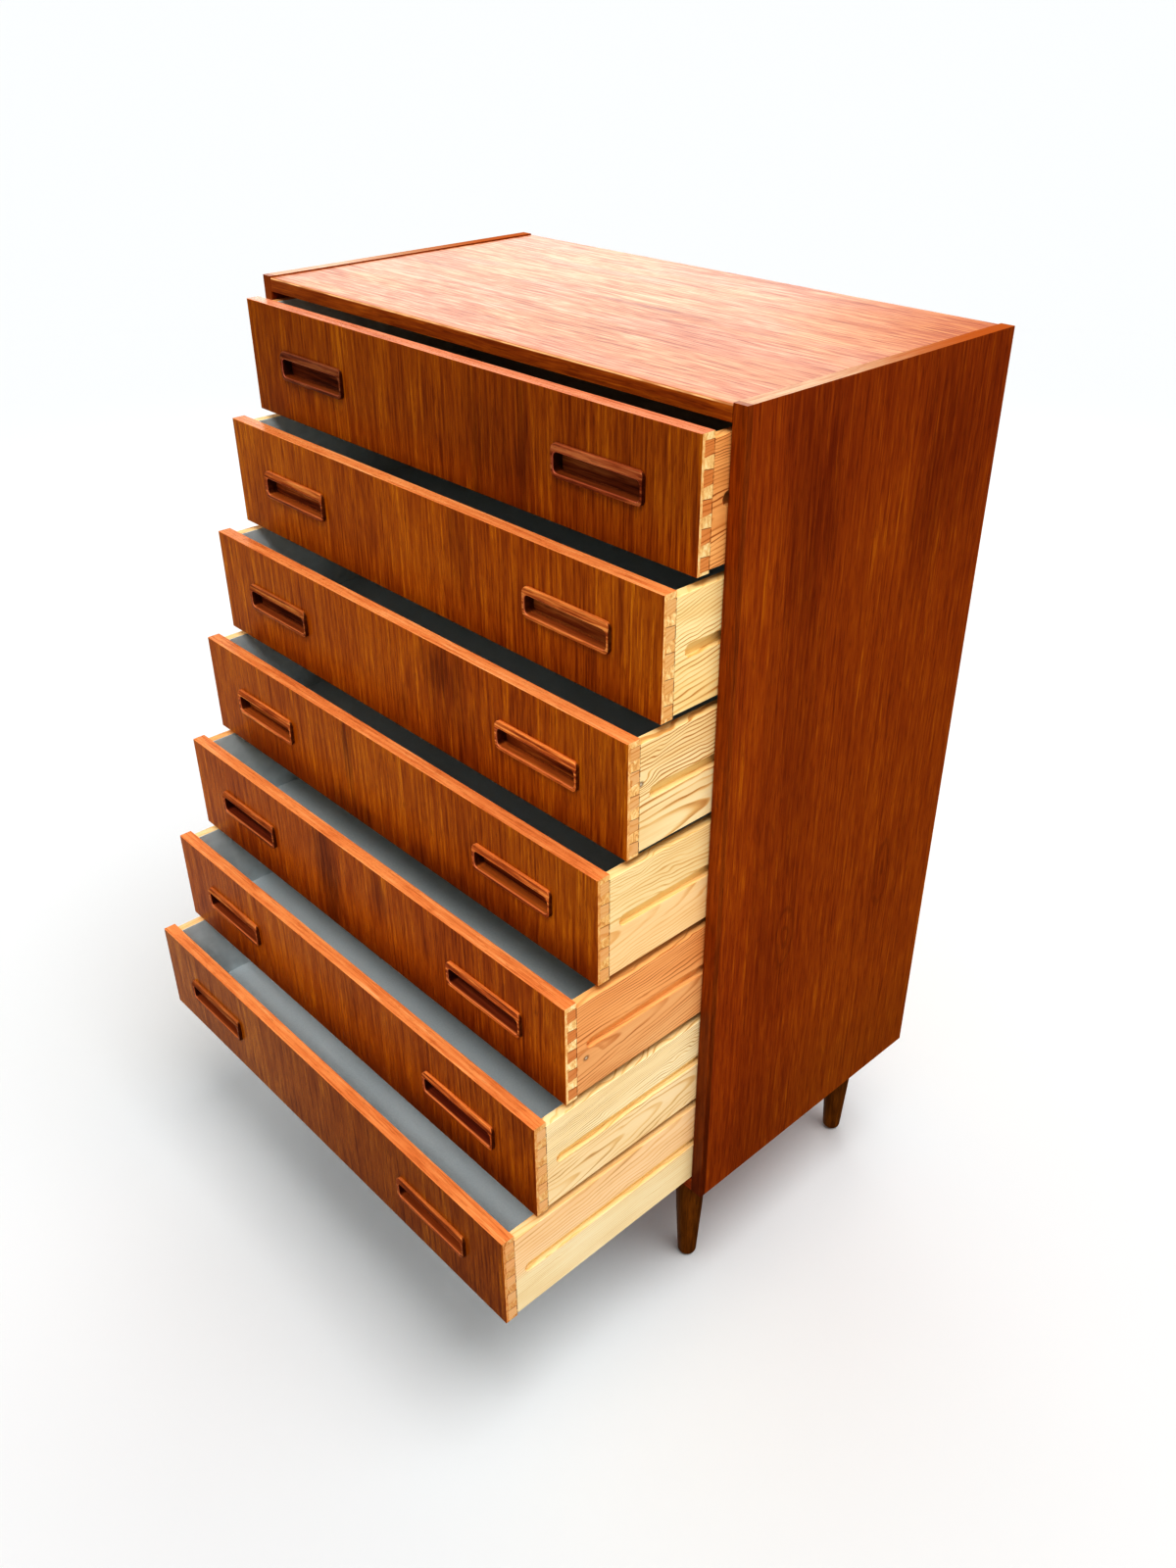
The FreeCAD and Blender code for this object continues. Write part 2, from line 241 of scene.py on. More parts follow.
def blend(tree, share, first, second, kind="MIX"):
    """Two colours mixed by a share."""
    mixer = add_node(tree, "ShaderNodeMix", data_type="RGBA", blend_type=kind)
    feed(tree, share, mixer.inputs[0])
    feed(tree, first, mixer.inputs[6])
    feed(tree, second, mixer.inputs[7])
    return mixer.outputs[2]


def wash(tree, colour, factors):
    """A colour with its red, green and blue each multiplied by a factor."""
    return blend(tree, 1.0, colour, factors, "MULTIPLY")


def wash_where(tree, colour, share, factors):
    """A colour that is washed only as far as a share says."""
    return wash(tree, colour, blend(tree, share, unchanged, factors))


def tint(tree, value, tones, stops=(0.0, 0.38, 0.66, 1.0)):
    """A value from 0 to 1 coloured from the darkest tone to the lightest."""
    ramp = add_node(tree, "ShaderNodeValToRGB")
    while len(ramp.color_ramp.elements) < len(tones):
        ramp.color_ramp.elements.new(0.5)
    for element, stop, shade in zip(ramp.color_ramp.elements, stops, tones):
        element.position = stop
        element.color = tone(*shade)
    feed(tree, value, ramp.inputs[0])
    return ramp.outputs[0]


Spots = namedtuple("Spots", "point x y z facing_x facing_y facing_z")


def start_finish(name):
    """A new material, its tree, and the coordinates of its surface and the way that it faces."""
    finish = bpy.data.materials.new(name)
    finish.use_nodes = True
    tree = finish.node_tree
    coordinates = add_node(tree, "ShaderNodeTexCoord")
    split = add_node(tree, "ShaderNodeSeparateXYZ")
    facing = add_node(tree, "ShaderNodeSeparateXYZ")
    feed(tree, coordinates.outputs["Object"], split.inputs[0])
    feed(tree, coordinates.outputs["Normal"], facing.inputs[0])
    return finish, tree, Spots(coordinates.outputs["Object"], *split.outputs, *facing.outputs)


def set_shader(tree, name, value):
    """Give the tree's shader one of its values."""
    feed(tree, value, tree.nodes["Principled BSDF"].inputs[name])


def set_surface(tree, colour, roughness, specular, warmth=unchanged):
    """A surface's colour and roughness, and how strongly and in what tint it mirrors."""
    set_shader(tree, "Base Color", colour)
    set_shader(tree, "Roughness", roughness)
    set_shader(tree, "Specular IOR Level", specular)
    set_shader(tree, "Specular Tint", warmth)


def raise_grain(tree, height, strength):
    """Relief from a height."""
    relief = add_node(tree, "ShaderNodeBump")
    relief.inputs["Strength"].default_value = strength
    relief.inputs["Distance"].default_value = grain_height
    feed(tree, height, relief.inputs["Height"])
    set_shader(tree, "Normal", relief.outputs[0])


def open_pores(tree, figure, strength):
    """Relief of teak's pores, from its figure."""
    raise_grain(tree, minus(tree, 1.0, figure[1]), strength)


def stretch(along, across, lengthwise):
    """Repeats per metre on X, Y and Z of a pattern that is drawn out along one axis."""
    return [lengthwise if axis == along else across for axis in "xyz"]


def noise(tree, point, repeats, detail=2.0, wander=0.0, shift=(0, 0, 0)):
    """Cloudy noise from about 0 to 1."""
    placed = add_node(tree, "ShaderNodeMapping")
    feed(tree, point, placed.inputs["Vector"])
    placed.inputs["Scale"].default_value = repeats
    placed.inputs["Location"].default_value = shift
    cloud = add_node(tree, "ShaderNodeTexNoise")
    feed(tree, placed.outputs[0], cloud.inputs["Vector"])
    cloud.inputs["Scale"].default_value = 1
    cloud.inputs["Detail"].default_value = detail
    cloud.inputs["Distortion"].default_value = wander
    return cloud.outputs[0]


def sway(tree, spots, along, amount, shift):
    """The coordinates pushed sideways here and there, so that straight grain wanders."""
    push = noise(tree, spots.point, stretch(along, 7, 3), 1.0, 0.0, shift)
    push = swing(tree, push, amount)
    moved = add_node(tree, "ShaderNodeCombineXYZ")
    for place, axis in enumerate("xyz"):
        value = getattr(spots, axis)
        feed(tree, value if axis == along else calculate(tree, "ADD", value, push),
             moved.inputs[place])
    return moved.outputs[0]


# Teak's broad shades, streaks, short dashes, ribbon lines and fibre: repeats per metre across and
# along the grain, detail and wander, and the repeats of its pores
teak_layers = ((6, 1.4, 1.0, 0.0), (48, 4, 2.0, 0.5), (160, 14, 1.0, 0.0), (290, 8, 1.0, 0.0),
               (560, 34, 2.0, 0.0))
fibre_weight = 0.45
pore_repeats = (620, 62)


def teak_figure(tree, spots, along, shift, sway_amount=0.01, ribbon=0.34, broad=0.24, reach=0.4,
                dashes=0.17):
    """How light teak is from place to place, and its open pores, all drawn out along the grain."""
    bent = sway(tree, spots, along, sway_amount, shift)
    light = 0.5
    weights = (broad, broad * 0.6, dashes, ribbon, fibre_weight)
    for (across, lengthwise, detail, wander), weight in zip(teak_layers, weights):
        part = noise(tree, bent, stretch(along, across, lengthwise), detail, wander, shift)
        light = times_plus(tree, minus(tree, part, 0.5), weight, light)
    pores = noise(tree, bent, stretch(along, *pore_repeats), 1.0, 0.0, shift)
    return spread(tree, light, 0.5 - reach, 0.5 + reach), spread(tree, pores, 0.6, 0.7)


def teak_colour(tree, figure, tones, pore_strength=0.4):
    """Teak's colour from its figure."""
    light, pores = figure
    pores = times(tree, pores, pore_strength)
    return blend(tree, pores, tint(tree, light, tones), tone(*tones[0]))


def distance_from(tree, spots, axes, centre, radii):
    """How far from a centre, counted in its radii."""
    return length_of(tree, *(
        calculate(tree, "DIVIDE", minus(tree, getattr(spots, axis), middle), radius)
        for axis, middle, radius in zip(axes, centre, radii)))


def soft_spot(tree, spots, axes, centre, radii, ragged=None):
    """1 at a centre, fading to 0 at its radii, with an edge that noise makes ragged."""
    distance = distance_from(tree, spots, axes, centre, radii)
    if ragged is not None:
        distance = calculate(tree, "ADD", distance, swing(tree, ragged, 1.6))
    return fade(tree, distance, 0.15, 1.0)


def dark_figure(tree, spots, colour, across, places, darkest):
    """Darker heartwood patches, given as place across, z, half width, half height and strength."""
    ragged = noise(tree, spots.point, (60, 60, 9), 3.0, 0.4)
    streaks = noise(tree, spots.point, (300, 300, 12))
    streaks = spread(tree, streaks, 0.3, 0.64, 0.3, 1.0)
    for middle, z, half_width, half_height, strength in places:
        spot = soft_spot(tree, spots, across + "z", (middle, z), (half_width, half_height), ragged)
        share = times(tree, spot, strength, streaks)
        colour = blend(tree, share, colour, darkest)
    return colour


def on_top_edge(tree, spots, high):
    """1 on the upper edge of an upright board."""
    near = above(tree, spots.z, high.z - edge_thickness)
    return times(tree, near, above(tree, spots.facing_z, 0.35, 0.2))


# Factors on red, green and blue at the left and the right of each front, more at its right end,
# and along its foot, where they are painted shade (on the first front, painted light)
front_shades = {
    1: ((0.81, 0.86, 0.56), (0.70, 0.65, 0.85), (1.30, 1.55, 1.6), (1.12, 1.06, 1.0)),
    2: ((1.05, 1.20, 1.50), (0.95, 0.95, 1.15), (1.14, 1.34, 2.0), (0.91, 0.82, 0.85)),
    3: ((1.05, 1.14, 1.05), (1.00, 1.01, 1.05), (0.99, 1.08, 1.6), (0.89, 0.81, 0.80)),
    4: ((1.09, 1.18, 0.90), (0.92, 0.93, 1.10), (1.05, 1.14, 1.7), (0.68, 0.53, 0.55)),
    5: ((1.06, 1.08, 0.80), (0.95, 0.92, 0.92), (0.95, 0.97, 1.4), (0.71, 0.59, 0.60)),
    6: ((1.11, 1.18, 0.90), (0.84, 0.83, 0.90), (1.02, 1.08, 1.3), (0.68, 0.55, 0.50)),
    7: ((0.97, 1.12, 0.95), (0.67, 0.68, 0.70), (1.20, 1.28, 1.3), (0.84, 0.80, 0.80)),
}

# Heartwood patches of the drawer fronts: x, z, half width, half height and strength
front_patches = {
    1: ((0.059, 1.095, 0.013, 0.14, 0.45), (0.137, 1.095, 0.012, 0.14, 0.4),
        (0.098, 1.09, 0.07, 0.12, 0.25)),
    2: ((0.073, 0.985, 0.036, 0.08, 0.3),),
    3: ((0.090, 0.856, 0.048, 0.055, 0.6), (0.010, 0.775, 0.016, 0.035, 0.4),
        (0.11, 0.80, 0.06, 0.08, 0.25)),
    4: ((-0.060, 0.700, 0.014, 0.09, 0.65), (-0.060, 0.613, 0.080, 0.035, 0.5),
        (0.120, 0.613, 0.11, 0.035, 0.35)),
    5: ((-0.063, 0.536, 0.040, 0.15, 0.75), (0.053, 0.578, 0.020, 0.05, 0.45)),
    6: ((0.033, 0.420, 0.020, 0.06, 0.2), (0.220, 0.333, 0.13, 0.035, 0.35)),
    7: (),
}

# Factors on red, green and blue of the end grain at each front's ends, and more in its pins
core_washes = {1: (0.93, 0.88, 0.85), 2: (1.14, 1.34, 1.5), 3: (1.14, 1.32, 1.45),
               4: (1.05, 1.12, 1.1), 5: (0.97, 0.95, 1.0), 6: (1.0, 1.08, 1.15),
               7: (0.92, 0.9, 0.9)}
pin_wash = (1.02, 1.14, 1.25)

# How strongly the short dashes of the grain show on each front
front_dashes = {1: 0.30, 2: 0.33, 3: 0.30, 4: 0.22, 5: 0.26, 6: 0.22, 7: 0.22}


def across_front(tree, spots, number, base_z):
    """A front's colour factors from its left to its right, and the painted shade at its foot."""
    left, right, end, foot = front_shades[number]
    even = blend(tree, times_plus(tree, spots.x, 1.31, 0.5), left, right)
    even = wash_where(tree, even, spread(tree, spots.x, 0.2, 0.38), end)
    # Along the foot the factors paint shade, and on the first front they paint light
    painted_shade_low = fade(tree, spots.z, base_z, base_z + shaded_foot_band)
    painted_shade_low = times(tree, painted_shade_low, above(tree, spots.x, -0.34, 0.04))
    return wash_where(tree, even, painted_shade_low, foot)


def end_grain(tree, spots, number, tones):
    """Sawn end grain: a faint swirl with fine specks."""
    swirl = noise(tree, spots.point, (110, 170, 110), 2.0, 1.2, (number, 0, 0))
    specks = noise(tree, spots.point, (900, 900, 900), 1.0, 0.0, (number, 0, 0))
    light = times_plus(tree, specks, 0.25, times(tree, swirl, 0.75))
    return tint(tree, spread(tree, light, 0.2, 0.8), tones)


def front_finish(number):
    """A drawer front: upright teak veneer, a teak edge on top and a pale core at the ends."""
    low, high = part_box("drawer_%d_front" % number)
    finish, tree, spots = start_finish("front_teak_%d" % number)
    ribbon = times(tree, spread(tree, spots.x, 0.0, 0.35, 1.0, 1.1), 0.5)
    face = teak_figure(tree, spots, "z", (0.7, 0.2, number * 0.6), 0.012, ribbon,
                       dashes=front_dashes[number])
    colour = teak_colour(tree, face, front_tones)
    colour = wash(tree, colour, across_front(tree, spots, number, low.z))
    colour = dark_figure(tree, spots, colour, "x", front_patches[number], front_heartwood)
    tones = bright_core_tones if number in orange_sides else core_tones
    core = wash(tree, end_grain(tree, spots, number, tones), core_washes[number])
    in_pins = above(tree, spots.y, low.y + lap_thickness)
    core = wash_where(tree, core, in_pins, pin_wash)
    in_core = above(tree, spots.y, low.y + veneer_thickness)
    colour = blend(tree, in_core, colour, core)
    edge = teak_figure(tree, spots, "x", (number, 0.4, 0.1), 0.006, 0.5)
    edge = teak_colour(tree, edge, pale_edge_tones if number == 1 else edge_tones)
    colour = blend(tree, on_top_edge(tree, spots, high), colour, edge)
    roughness = spread(tree, face[0], 0.0, 1.0, 0.34, 0.24)
    set_surface(tree, colour, roughness, lacquer, warm_gloss)
    open_pores(tree, face, 0.05)
    return finish


# Heartwood patches of the carcase sides: y, z, half width, half height and strength
side_patches = ((0.055, 1.04, 0.050, 0.19, 0.5), (0.262, 1.05, 0.055, 0.19, 0.55),
                (0.06, 0.80, 0.05, 0.30, 0.25), (0.33, 1.06, 0.05, 0.20, 0.25),
                (0.05, 0.50, 0.05, 0.12, 0.25), (0.27, 0.52, 0.05, 0.12, 0.2))

# Where a knot lay under the sides' veneer, as y and z, and half the width and height of its oval
side_eyes = ((0.066, 0.527), (0.258, 0.527))
eye_radii = (20 * mm, 62 * mm)


def eye_figure(tree, spots, colour, places):
    """Faint upright ovals where a knot lay under the veneer."""
    ragged = noise(tree, spots.point, (40, 40, 20))
    for place in places:
        size = distance_from(tree, spots, "yz", place, eye_radii)
        size = times_plus(tree, ragged, 0.9, size)
        rings = spread(tree, calculate(tree, "SINE", times(tree, size, 12.0)), 0.0, 1.0)
        share = times(tree, rings, spread(tree, size, 1.0, 1.7, 0.32, 0.0))
        colour = blend(tree, share, colour, eye_ring)
    return colour


def side_shades(tree, spots, colour, low):
    """A side's colour, lighter along its front, low at the rear and half way up."""
    strip = below(tree, spots.y, low.y + front_strip, strip_seam)
    low_rear = times(tree, below(tree, spots.z, 0.55, 0.34), above(tree, spots.y, 0.10, 0.14))
    half_up = times(tree, spread(tree, spots.z, 0.5, 0.72), fade(tree, spots.z, 1.0, 1.1))
    high_up = spread(tree, spots.z, 1.03, 1.13)
    foot = below(tree, spots.z, 0.30, 0.10)
    for share, factors in ((strip, (1.12, 1.16, 1.0)), (low_rear, (1.18, 1.5, 1.8)),
                           (half_up, (1.07, 1.16, 0.8)), (high_up, (0.95, 0.93, 0.85)),
                           (foot, (0.86, 0.88, 1.0))):
        colour = wash_where(tree, colour, share, factors)
    return colour


def side_finish(name, node):
    """A carcase side: upright teak veneer with a raised teak edge on top."""
    low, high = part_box(node)
    finish, tree, spots = start_finish(name)
    face = teak_figure(tree, spots, "z", (3.1, 0.9, 0.4), 0.01, 0.4, 0.14)
    colour = side_shades(tree, spots, teak_colour(tree, face, side_tones), low)
    colour = dark_figure(tree, spots, colour, "y", side_patches, side_heartwood)
    colour = eye_figure(tree, spots, colour, side_eyes)
    edge = teak_figure(tree, spots, "y", (2.0, 0.4, 0.1), 0.006)
    # The top edge is paler towards the front: partly wear, partly painted sheen
    edge = wash(tree, teak_colour(tree, edge, top_tones, 0.3), (1.0, 1.50, 1.90))
    rear = spread(tree, spots.y, low.y + worn_and_sheen_edge_length, 0.33, 0.0, 0.95)
    edge = blend(tree, rear, edge, dark_rear_edge)
    on_top = on_top_edge(tree, spots, high)
    colour = blend(tree, on_top, colour, edge)
    roughness = times_plus(tree, times(tree, on_top, rear), 0.55,
                           spread(tree, face[0], 0.0, 1.0, 0.42, 0.32))
    set_surface(tree, colour, roughness, lacquer, warm_gloss)
    open_pores(tree, face, 0.1)
    return finish


# Dark streaks in the top: x, y, half length, half width and strength
top_streaks = ((0.042, 0.160, 0.120, 0.0085, 1.0), (-0.315, 0.146, 0.055, 0.006, 0.9),
               (0.20, 0.158, 0.20, 0.004, 0.4), (-0.12, 0.150, 0.16, 0.004, 0.35),
               (-0.20, 0.085, 0.12, 0.005, 0.3), (0.10, 0.166, 0.06, 0.006, 0.6))

# Where less sheen is painted at the top's rear right: its centre and its radii on X and Y
sheenless_top_corner = ((0.42, 0.40), (0.33, 0.36))


def top_finish():
    """The top panel: teak veneer with its grain across the width, a few dark streaks and painted
    sheen.
    """
    finish, tree, spots = start_finish("top_teak")
    face = teak_figure(tree, spots, "x", (0.3, 1.7, 0.2), 0.02, 0.36, 0.22, 0.21)
    colour = teak_colour(tree, face, top_tones, 0.3)
    yellow = spread(tree, noise(tree, spots.point, (5, 16, 1), 2.0, 0.4, (3.3, 0, 0)), 0.4, 0.6)
    colour = wash(tree, colour, blend(tree, yellow, (0.97, 0.92, 0.93), (1.0, 1.03, 0.86)))
    # Painted sheen: the top is painted browner towards the right, where less sheen falls
    less_sheen_rightward = spread(tree, spots.x, -0.05, 0.38)
    colour = wash_where(tree, colour, less_sheen_rightward, (0.97, 0.85, 0.71))
    # Painted reflection: the rear right corner is painted browner, where less sheen is mirrored
    corner = soft_spot(tree, spots, "xy", *sheenless_top_corner)
    colour = wash_where(tree, colour, corner, (0.97, 0.74, 0.10))
    push = minus(tree, noise(tree, spots.point, (9, 3, 1)), 0.5)
    bent = spots._replace(y=times_plus(tree, push, 0.02, spots.y))
    broken = spread(tree, noise(tree, spots.point, (30, 200, 1)), 0.36, 0.58, 0.3, 1.0)
    for x, y, half_length, half_width, strength in top_streaks:
        streak = soft_spot(tree, bent, "xy", (x, y), (half_length, half_width))
        streak = times(tree, streak, broken, strength)
        colour = blend(tree, streak, colour, top_streak)
    roughness = times_plus(tree, corner, 0.1, spread(tree, face[0], 0.0, 1.0, 0.42, 0.34))
    set_surface(tree, colour, roughness, oiled, pale_gloss)
    open_pores(tree, face, 0.08)
    return finish


def lipping_finish(name, along, tones, worn, foot=1.0):
    """A solid teak strip, worn paler along its front arris, and with painted shade darkening its
    foot.
    """
    finish, tree, spots = start_finish(name)
    face = teak_figure(tree, spots, along, (5.0, 0.3, 2.2), 0.008)
    # Painted shade: the strip is darker towards its foot, where the drawers shade it
    painted_shade_low = below(tree, spots.z, 0.45, 0.25)
    colour = wash_where(tree, teak_colour(tree, face, tones), painted_shade_low,
                        (foot, foot * 0.84, foot * 0.5))
    corner = times(tree, spots.facing_y, spots.facing_z, -2.0)
    corner = spread(tree, corner, 0.25, 0.95)
    patches = spread(tree, noise(tree, spots.point, (26, 26, 26)), 0.3, 0.6, 0.35, 1.0)
    colour = blend(tree, times(tree, corner, patches, worn), colour, worn_arris)
    pale = teak_figure(tree, spots, "x", (0.3, 1.7, 0.2), 0.02, 0.36, 0.26, 0.3)
    pale = teak_colour(tree, pale, top_tones, 0.3)
    upward = above(tree, spots.facing_z, 0.8, 0.15)
    upward = times(tree, upward, min(1.0, worn * 1.2))
    colour = blend(tree, upward, colour, pale)
    set_surface(tree, colour, 0.38, lacquer, warm_gloss)
    open_pores(tree, face, 0.12)
    return finish


def kept_value(tree, name):
    """A value that a piece keeps on each of its points."""
    return add_node(tree, "ShaderNodeAttribute", attribute_name=name).outputs["Fac"]


def pull_finish():
    """Teak pulls, streaky along their length, with dark oiled end grain, painted rim light and
    recess shade.
    """
    finish, tree, spots = start_finish("pull_teak")
    face = teak_figure(tree, spots, "x", (1.4, 2.3, 0.6), 0.004, 0.8, 0.4, 0.26)
    colour = teak_colour(tree, face, pull_tones)
    # Painted light: faces turned upwards are painted lighter
    upward = times(tree, spread(tree, spots.facing_z, 0.1, 0.95), 0.5)
    colour = blend(tree, upward, colour, lit_rim)
    depth = kept_value(tree, "hollow")
    inside = spread(tree, depth, 0.2, 0.6)
    # A kept factor washes each rim with painted light and shade, and the recess gets painted shade
    colour = blend(tree, inside, wash(tree, colour, kept_value(tree, "painted_rim_light")), colour)
    recess_shade = blend(tree, kept_value(tree, "painted_recess_shade"), (0.88, 0.86, 0.62), (0.20, 0.07, 0.22))
    colour = wash_where(tree, colour, inside, recess_shade)
    endwise = spread(tree, size_of(tree, spots.facing_x), 0.35, 0.85, 0.0, 0.85)
    colour = blend(tree, endwise, colour, oiled_end_grain)
    # The lip's edge is painted paler: partly wear, partly a painted highlight
    worn = times(tree, spread(tree, depth, 0.0, 0.06), spread(tree, depth, 0.16, 0.34, 0.7, 0.0))
    colour = blend(tree, worn, colour, worn_and_highlit_rim)
    # Painted shade on the top drawer's pulls, darker still in their recesses
    uppermost = above(tree, spots.z, 1.02)
    top_pull_shade = blend(tree, inside, (0.85, 0.72, 0.9), (0.5, 0.42, 0.5))
    colour = wash_where(tree, colour, uppermost, top_pull_shade)
    set_surface(tree, colour, 0.3, oiled, warm_gloss)
    open_pores(tree, face, 0.1)
    return finish


def leg_finish():
    """The turned legs, stained dark."""
    finish, tree, spots = start_finish("leg_stain")
    face = teak_figure(tree, spots, "z", (2.6, 1.3, 0.8), 0.006)
    set_surface(tree, teak_colour(tree, face, leg_tones), 0.42, lacquer, warm_gloss)
    open_pores(tree, face, 0.15)
    return finish


Board = namedtuple("Board", "heart depth rise spacing strength wander tones knots")

# Each drawer's pine: the heart's height over the board's middle at its front end, its depth and
# rise, the rings' spacing, strength and wander, the tones, and the knots as y and z
pine_boards = {
    1: Board(-14 * mm, 14 * mm, 0.05, 2.3 * mm, 0.75, 5 * mm, pine_orange, ()),
    2: Board(-88 * mm, 16 * mm, 0.20, 4.4 * mm, 0.65, 5 * mm, pine_light, ()),
    3: Board(-52 * mm, 14 * mm, 0.06, 4.3 * mm, 1.25, 5 * mm, pine_light, ((-0.164, 0.831),)),
    4: Board(-10 * mm, 26 * mm, 0.02, 2.8 * mm, 0.42, 8 * mm, pine_light, ()),
    5: Board(-16 * mm, 12 * mm, 0.07, 3.0 * mm, 0.6, 6 * mm, pine_orange, ((-0.2393, 0.518),)),
    6: Board(-50 * mm, 12 * mm, 0.10, 2.7 * mm, 0.75, 7 * mm, pine_pale, ()),
    7: Board(74 * mm, 20 * mm, -0.03, 3.4 * mm, 0.5, 5 * mm, pine_pale, ()),
}

# Factors on red, green and blue of each drawer's pine above and below its groove, and on the
# strength of its rings below it
pine_washes = {
    1: ((1.0, 1.03, 1.03), (1.04, 1.09, 1.1), 1.0),
    2: ((1.03, 1.09, 1.15), (1.00, 0.97, 0.90), 1.1),
    3: ((0.95, 0.92, 0.92), (0.96, 0.96, 1.02), 0.6),
    4: ((0.95, 0.95, 0.98), (0.96, 0.85, 0.83), 0.7),
    5: ((0.99, 1.00, 1.10), (0.91, 0.96, 1.13), 0.9),
    6: ((0.98, 1.01, 1.06), (0.95, 0.91, 0.90), 0.8),
    7: ((0.96, 0.83, 0.80), (0.92, 0.95, 1.00), 0.7),
}

# How far the groove's middle lies under the board's, and the bands over which the pine changes
groove_drop = 2 * mm
wash_seam = 12 * mm
ring_seam = (-12 * mm, 6 * mm)

# Rings lie closer the further they are from the heart, and as far apart as given at this distance
ring_growth = 1.45
ring_distance = 100 * mm

# Half sizes on Y and Z of a knot's ring, its heart and the swelling of the rings round it
knot_ring_size = (0.006, 0.005)
knot_heart_size = (0.0028, 0.0024)
knot_swell_size = (0.03, 0.014)


def pine_rings(tree, spots, middle, low, outer_x, board, number):
    """Growth rings round a heart that runs nearly along Y, bent round the knots."""
    run = minus(tree, spots.y, low.y)
    sideways = noise(tree, spots.point, (6, 11, 24), 2.0, 0.6, (number * 3.7, 0, 0))
    wobble = swing(tree, sideways, board.wander * 3)
    centre = times_plus(tree, run, board.rise, middle.z + board.heart)
    height = calculate(tree, "ADD", minus(tree, spots.z, centre), wobble)
    away = minus(tree, board.depth + outer_x, size_of(tree, spots.x))
    radius = length_of(tree, height, times_plus(tree, run, 0.08, away))
    for knot in board.knots:
        swell = soft_spot(tree, spots, "yz", knot, knot_swell_size)
        radius = times_plus(tree, swell, board.spacing * 2.5, radius)
    turns = calculate(tree, "POWER", calculate(tree, "DIVIDE", radius, ring_distance), ring_growth)
    turns = times(tree, turns, ring_distance / ring_growth / board.spacing)
    phase = calculate(tree, "FRACT", turns)
    late = times(tree, spread(tree, phase, 0.55, 0.88), fade(tree, phase, 0.9, 1.0))
    years = add_node(tree, "ShaderNodeCombineXYZ")
    feed(tree, times(tree, turns, 0.37), years.inputs[0])
    feed(tree, times(tree, run, 9.0), years.inputs[1])
    share = spread(tree, noise(tree, years.outputs[0], (1, 1, 1)), 0.32, 0.66, 0.25, 1.0)
    return times(tree, late, share, board.strength)


def dovetail_lines(tree, spots, low, high):
    """1 along the outlines of the tails at a drawer side's front end, and 1 within the joint."""
    pitch = (high.z - low.z + pin_width) / tail_count
    half = (pitch - pin_width) / 2
    place = calculate(tree, "DIVIDE", minus(tree, spots.z, low.z), pitch)
    place = times(tree, calculate(tree, "FRACT", place), pitch)
    away = size_of(tree, minus(tree, place, half))
    behind_tip = minus(tree, spots.y, low.y)
    flare = times_plus(tree, behind_tip, -tail_flare / tail_length, half + tail_flare)
    edge = size_of(tree, minus(tree, away, flare))
    in_joint = below(tree, spots.y, low.y + tail_length, joint_line)
    slanted = times(tree, below(tree, edge, joint_line, joint_line), in_joint)
    base = size_of(tree, minus(tree, behind_tip, tail_length))
    dashes = spread(tree, noise(tree, spots.point, (1, 1, 260), 1.0), 0.36, 0.56, 0.3, 1.0)
    base = times(tree, below(tree, base, joint_line), dashes)
    return calculate(tree, "MAXIMUM", slanted, base), in_joint


def knot_marks(tree, spots, colour, knots):
    """A dark ring with a pale heart at each knot."""
    for knot in knots:
        for sizes, shade in ((knot_ring_size, knot_ring), (knot_heart_size, knot_heart)):
            spot = times(tree, soft_spot(tree, spots, "yz", knot, sizes), 0.9)
            colour = blend(tree, spot, colour, shade)
    return colour


def pine_colour(tree, spots, number, late, groove_z):
    """Bare pine's colour, from its rings, and its fibre."""
    board = pine_boards[number]
    upper, lower = pine_washes[number][:2]
    fibre = noise(tree, spots.point, (480, 12, 480), shift=(0, number, 0))
    cloud = noise(tree, spots.point, (16, 5, 24), shift=(number, 0, 0))
    light = times_plus(tree, cloud, 0.45, times_plus(tree, fibre, 0.24, 0.3))
    light = calculate(tree, "SUBTRACT", light, late, clamp=True)
    warm = noise(tree, spots.point, (30, 4, 26), 2.0, 0.3, (number, 2, 5))
    warm = spread(tree, warm, 0.42, 0.72, 0.0, 0.4)
    colour = blend(tree, warm, tint(tree, light, board.tones), tone(*board.tones[1]))
    over_groove = above(tree, spots.z, groove_z, wash_seam)
    colour = wash(tree, colour, blend(tree, over_groove, lower, upper))
    return knot_marks(tree, spots, colour, board.knots), fibre


